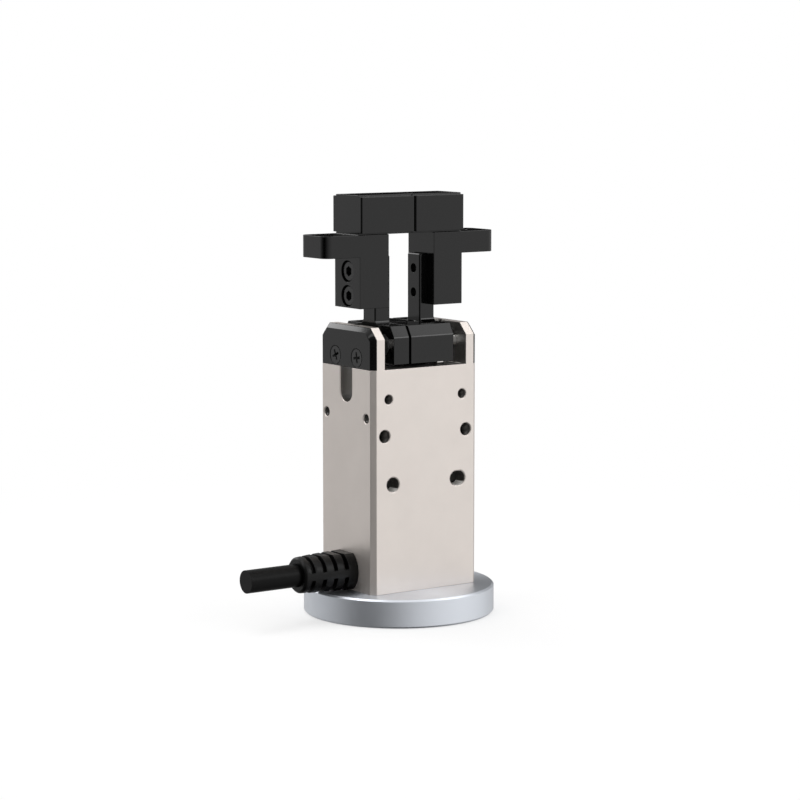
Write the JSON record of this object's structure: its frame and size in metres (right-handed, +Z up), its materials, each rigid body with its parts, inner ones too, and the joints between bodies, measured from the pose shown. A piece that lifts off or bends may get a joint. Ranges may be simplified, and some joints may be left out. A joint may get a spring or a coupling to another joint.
{
  "type": "electromagnetic gripper",
  "caption": "Slim two-finger parallel gripper driven by a solenoid: aluminium housing on a round flange, black sliding jaws on top, cable outlet at its foot.",
  "frame": {"origin": "centre of the mounting flange's underside", "axes": "+Z up from the flange towards the jaws, +X the right finger's opening direction, -Y the front face"},
  "size_m": [0.0781, 0.053, 0.1161],
  "materials": {
    "housing_metal": "fine matt, clear anodised",
    "flange_metal": "turned, clear anodised",
    "black_metal": "black anodised, matt",
    "black_screws": "black oxide",
    "ground_steel": "hardened and ground",
    "plated_iron": "nickel plated",
    "spring_steel": "bright drawn wire",
    "copper_wire": "enamelled copper wire",
    "bronze": "sintered bronze",
    "bush_polymer": "self-lubricating bearing plastic",
    "bobbin_plastic": "glass-filled",
    "board_green": "solder mask",
    "board_black": "moulded",
    "lead_red": "insulated wire",
    "cable_sheath": "smooth sheath",
    "relief_rubber": "matt"
  },
  "bodies": {
    "base": {"mounting_flange": "flange_metal", "flange_screws": "black_screws", "housing": "housing_metal", "left_cover": "black_metal", "right_cover": "black_metal", "left_cover_screws": "black_screws", "right_cover_screws": "black_screws", "front_guide_rod": "ground_steel", "rear_guide_rod": "ground_steel", "solenoid_yoke": "plated_iron", "fixed_pole": "plated_iron", "coil_bobbin": "bobbin_plastic", "coil_winding": "copper_wire", "plunger_bush": "bronze", "clamp_ring": "plated_iron", "coil_leads": "lead_red", "control_board": "board_green", "board_pillars": "bronze", "board_screws": "plated_iron", "board_parts": "board_black", "strain_relief": "relief_rubber", "supply_cable": "cable_sheath", "cable_cores": "lead_red", "return_spring": "spring_steel"},
    "drive": {"plunger": "plated_iron", "cam_plate": "ground_steel", "cam_cross_pin": "ground_steel"},
    "left_finger": {"left_carrier": "black_metal", "left_jaw": "black_metal", "left_jaw_screws": "black_screws", "left_rod_bushes": "bush_polymer", "left_drive_pin": "ground_steel", "left_roller": "ground_steel"},
    "right_finger": {"right_carrier": "black_metal", "right_jaw": "black_metal", "right_jaw_screws": "black_screws", "right_rod_bushes": "bush_polymer", "right_drive_pin": "ground_steel", "right_roller": "ground_steel"}
  },
  "joints": [
    {"name": "plunger_slide", "type": "slide", "parent": "base", "child": "drive", "axis": [0, 0, -1], "range_m": [0, 0.003], "stiffness_N_per_m": 800, "springref_m": -0.006, "deforming": ["return_spring"]},
    {"name": "left_finger_slide", "type": "slide", "parent": "base", "child": "left_finger", "axis": [-1, 0, 0], "range_m": [0, 0.002]},
    {"name": "right_finger_slide", "type": "slide", "parent": "base", "child": "right_finger", "axis": [1, 0, 0], "range_m": [0, 0.002]}
  ],
  "couplings": [
    {"joint": "left_finger_slide", "follows": "plunger_slide", "ratio": 0.66666},
    {"joint": "right_finger_slide", "follows": "plunger_slide", "ratio": 0.66666}
  ]
}
